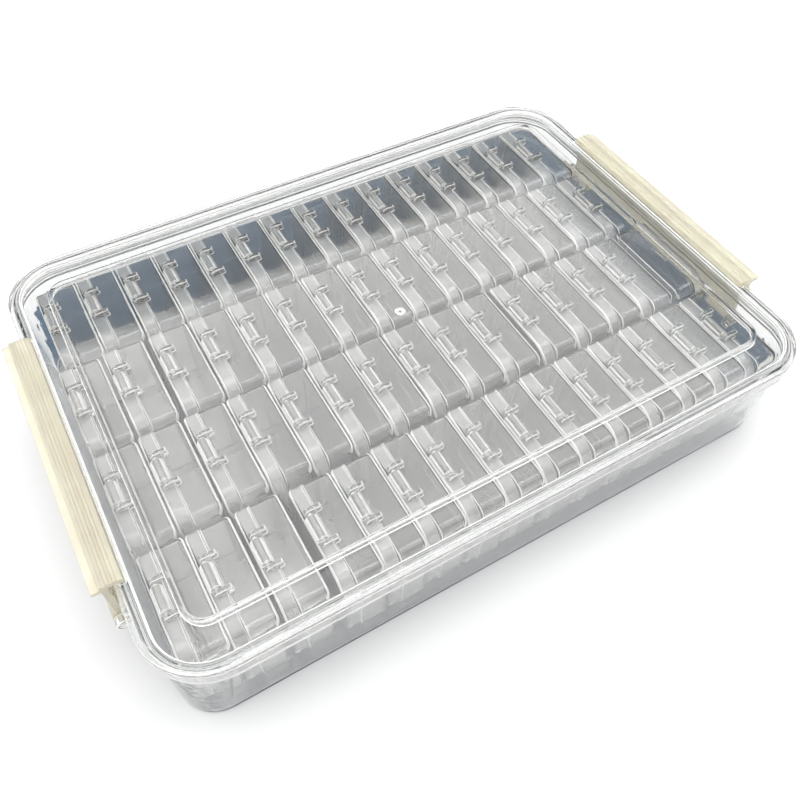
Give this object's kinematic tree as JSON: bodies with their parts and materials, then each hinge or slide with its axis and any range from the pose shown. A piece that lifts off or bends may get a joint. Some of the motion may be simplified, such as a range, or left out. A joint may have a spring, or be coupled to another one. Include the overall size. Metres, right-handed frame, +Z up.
{
  "type": "bead organizer case",
  "caption": "Clear lidded case with end latches that holds rows of small clear boxes, each with its own hinged lid, for sorting beads and craft parts.",
  "frame": {"origin": "centre of the case's flat underside, midway between the two latches", "axes": "+X along the long side, from the left latch to the right one; +Y to the back, away from the side the picture shows; +Z up out of the case"},
  "size_m": [0.2792, 0.192, 0.0507],
  "materials": {
    "clear_case": "clear, glossy",
    "clear_box": "clear with a slight haze",
    "ivory_latch": "satin ivory"
  },
  "bodies": {
    "tub": {"case_tub": "clear_case"},
    "lid": {"case_lid": "clear_case"},
    "latch_right_arm": {"latch_right": "ivory_latch"},
    "latch_left_arm": {"latch_left": "ivory_latch"},
    "boxes_01": {"tray_01_row_1": "clear_box", "tray_01_row_2": "clear_box", "tray_01_row_3": "clear_box", "tray_01_row_4": "clear_box"},
    "lid_of_box_row_1": {"cover_01_row_1": "clear_box"},
    "lid_of_box_row_2": {"cover_01_row_2": "clear_box"},
    "lid_of_box_row_3": {"cover_01_row_3": "clear_box"},
    "lid_of_box_row_4": {"cover_01_row_4": "clear_box"},
    "boxes_02": {"trays_02": "clear_box", "covers_02": "clear_box"},
    "boxes_03": {"trays_03": "clear_box", "covers_03": "clear_box"},
    "boxes_04": {"trays_04": "clear_box", "covers_04": "clear_box"},
    "boxes_05": {"trays_05": "clear_box", "covers_05": "clear_box"},
    "boxes_06": {"trays_06": "clear_box", "covers_06": "clear_box"},
    "boxes_07": {"trays_07": "clear_box", "covers_07": "clear_box"},
    "boxes_08": {"trays_08": "clear_box", "covers_08": "clear_box"},
    "boxes_09": {"trays_09": "clear_box", "covers_09": "clear_box"},
    "boxes_10": {"trays_10": "clear_box", "covers_10": "clear_box"},
    "boxes_11": {"trays_11": "clear_box", "covers_11": "clear_box"},
    "boxes_12": {"trays_12": "clear_box", "covers_12": "clear_box"},
    "boxes_13": {"trays_13": "clear_box", "covers_13": "clear_box"},
    "boxes_14": {"trays_14": "clear_box", "covers_14": "clear_box"},
    "boxes_15": {"trays_15": "clear_box", "covers_15": "clear_box"}
  },
  "joints": [
    {"name": "lid_lift", "type": "slide", "parent": "tub", "child": "lid", "axis": [0, 0, 1], "range_m": [0, 0.3]},
    {"name": "latch_right_open", "type": "hinge", "parent": "tub", "child": "latch_right_arm", "pos_m": [0.1356, 0, 0.0274], "axis": [0, 1, 0], "range_deg": [0, 110]},
    {"name": "latch_left_open", "type": "hinge", "parent": "tub", "child": "latch_left_arm", "pos_m": [-0.1356, 0, 0.0274], "axis": [0, -1, 0], "range_deg": [0, 110]},
    {"name": "boxes_01_lift", "type": "slide", "parent": "tub", "child": "boxes_01", "axis": [0, 0, 1], "range_m": [0, 0.27]},
    {"name": "cover_01_row_1_open", "type": "hinge", "parent": "boxes_01", "child": "lid_of_box_row_1", "pos_m": [-0.12016, 0.06888, 0.04], "axis": [0, 1, 0], "range_deg": [0, 12]},
    {"name": "cover_01_row_2_open", "type": "hinge", "parent": "boxes_01", "child": "lid_of_box_row_2", "pos_m": [-0.1231, 0.02499, 0.04], "axis": [0, 1, 0], "range_deg": [0, 12]},
    {"name": "cover_01_row_3_open", "type": "hinge", "parent": "boxes_01", "child": "lid_of_box_row_3", "pos_m": [-0.12316, -0.01861, 0.04], "axis": [0, 1, 0], "range_deg": [0, 12]},
    {"name": "cover_01_row_4_open", "type": "hinge", "parent": "boxes_01", "child": "lid_of_box_row_4", "pos_m": [-0.1222, -0.06211, 0.04], "axis": [0, 1, 0], "range_deg": [0, 12]},
    {"name": "boxes_02_lift", "type": "slide", "parent": "tub", "child": "boxes_02", "axis": [0, 0, 1], "range_m": [0, 0.09]},
    {"name": "boxes_03_lift", "type": "slide", "parent": "tub", "child": "boxes_03", "axis": [0, 0, 1], "range_m": [0, 0.09]},
    {"name": "boxes_04_lift", "type": "slide", "parent": "tub", "child": "boxes_04", "axis": [0, 0, 1], "range_m": [0, 0.09]},
    {"name": "boxes_05_lift", "type": "slide", "parent": "tub", "child": "boxes_05", "axis": [0, 0, 1], "range_m": [0, 0.09]},
    {"name": "boxes_06_lift", "type": "slide", "parent": "tub", "child": "boxes_06", "axis": [0, 0, 1], "range_m": [0, 0.09]},
    {"name": "boxes_07_lift", "type": "slide", "parent": "tub", "child": "boxes_07", "axis": [0, 0, 1], "range_m": [0, 0.09]},
    {"name": "boxes_08_lift", "type": "slide", "parent": "tub", "child": "boxes_08", "axis": [0, 0, 1], "range_m": [0, 0.09]},
    {"name": "boxes_09_lift", "type": "slide", "parent": "tub", "child": "boxes_09", "axis": [0, 0, 1], "range_m": [0, 0.09]},
    {"name": "boxes_10_lift", "type": "slide", "parent": "tub", "child": "boxes_10", "axis": [0, 0, 1], "range_m": [0, 0.09]},
    {"name": "boxes_11_lift", "type": "slide", "parent": "tub", "child": "boxes_11", "axis": [0, 0, 1], "range_m": [0, 0.09]},
    {"name": "boxes_12_lift", "type": "slide", "parent": "tub", "child": "boxes_12", "axis": [0, 0, 1], "range_m": [0, 0.09]},
    {"name": "boxes_13_lift", "type": "slide", "parent": "tub", "child": "boxes_13", "axis": [0, 0, 1], "range_m": [0, 0.09]},
    {"name": "boxes_14_lift", "type": "slide", "parent": "tub", "child": "boxes_14", "axis": [0, 0, 1], "range_m": [0, 0.09]},
    {"name": "boxes_15_lift", "type": "slide", "parent": "tub", "child": "boxes_15", "axis": [0, 0, 1], "range_m": [0, 0.09]}
  ],
  "couplings": [
    {"joint": "boxes_01_lift", "follows": "lid_lift", "ratio": 0.9},
    {"joint": "cover_01_row_1_open", "follows": "lid_lift", "rad_per_m": 0.698},
    {"joint": "cover_01_row_2_open", "follows": "lid_lift", "rad_per_m": 0.698},
    {"joint": "cover_01_row_3_open", "follows": "lid_lift", "rad_per_m": 0.698},
    {"joint": "cover_01_row_4_open", "follows": "lid_lift", "rad_per_m": 0.698},
    {"joint": "boxes_02_lift", "follows": "lid_lift", "ratio": 0.3},
    {"joint": "boxes_03_lift", "follows": "lid_lift", "ratio": 0.3},
    {"joint": "boxes_04_lift", "follows": "lid_lift", "ratio": 0.3},
    {"joint": "boxes_05_lift", "follows": "lid_lift", "ratio": 0.3},
    {"joint": "boxes_06_lift", "follows": "lid_lift", "ratio": 0.3},
    {"joint": "boxes_07_lift", "follows": "lid_lift", "ratio": 0.3},
    {"joint": "boxes_08_lift", "follows": "lid_lift", "ratio": 0.3},
    {"joint": "boxes_09_lift", "follows": "lid_lift", "ratio": 0.3},
    {"joint": "boxes_10_lift", "follows": "lid_lift", "ratio": 0.3},
    {"joint": "boxes_11_lift", "follows": "lid_lift", "ratio": 0.3},
    {"joint": "boxes_12_lift", "follows": "lid_lift", "ratio": 0.3},
    {"joint": "boxes_13_lift", "follows": "lid_lift", "ratio": 0.3},
    {"joint": "boxes_14_lift", "follows": "lid_lift", "ratio": 0.3},
    {"joint": "boxes_15_lift", "follows": "lid_lift", "ratio": 0.3}
  ]
}
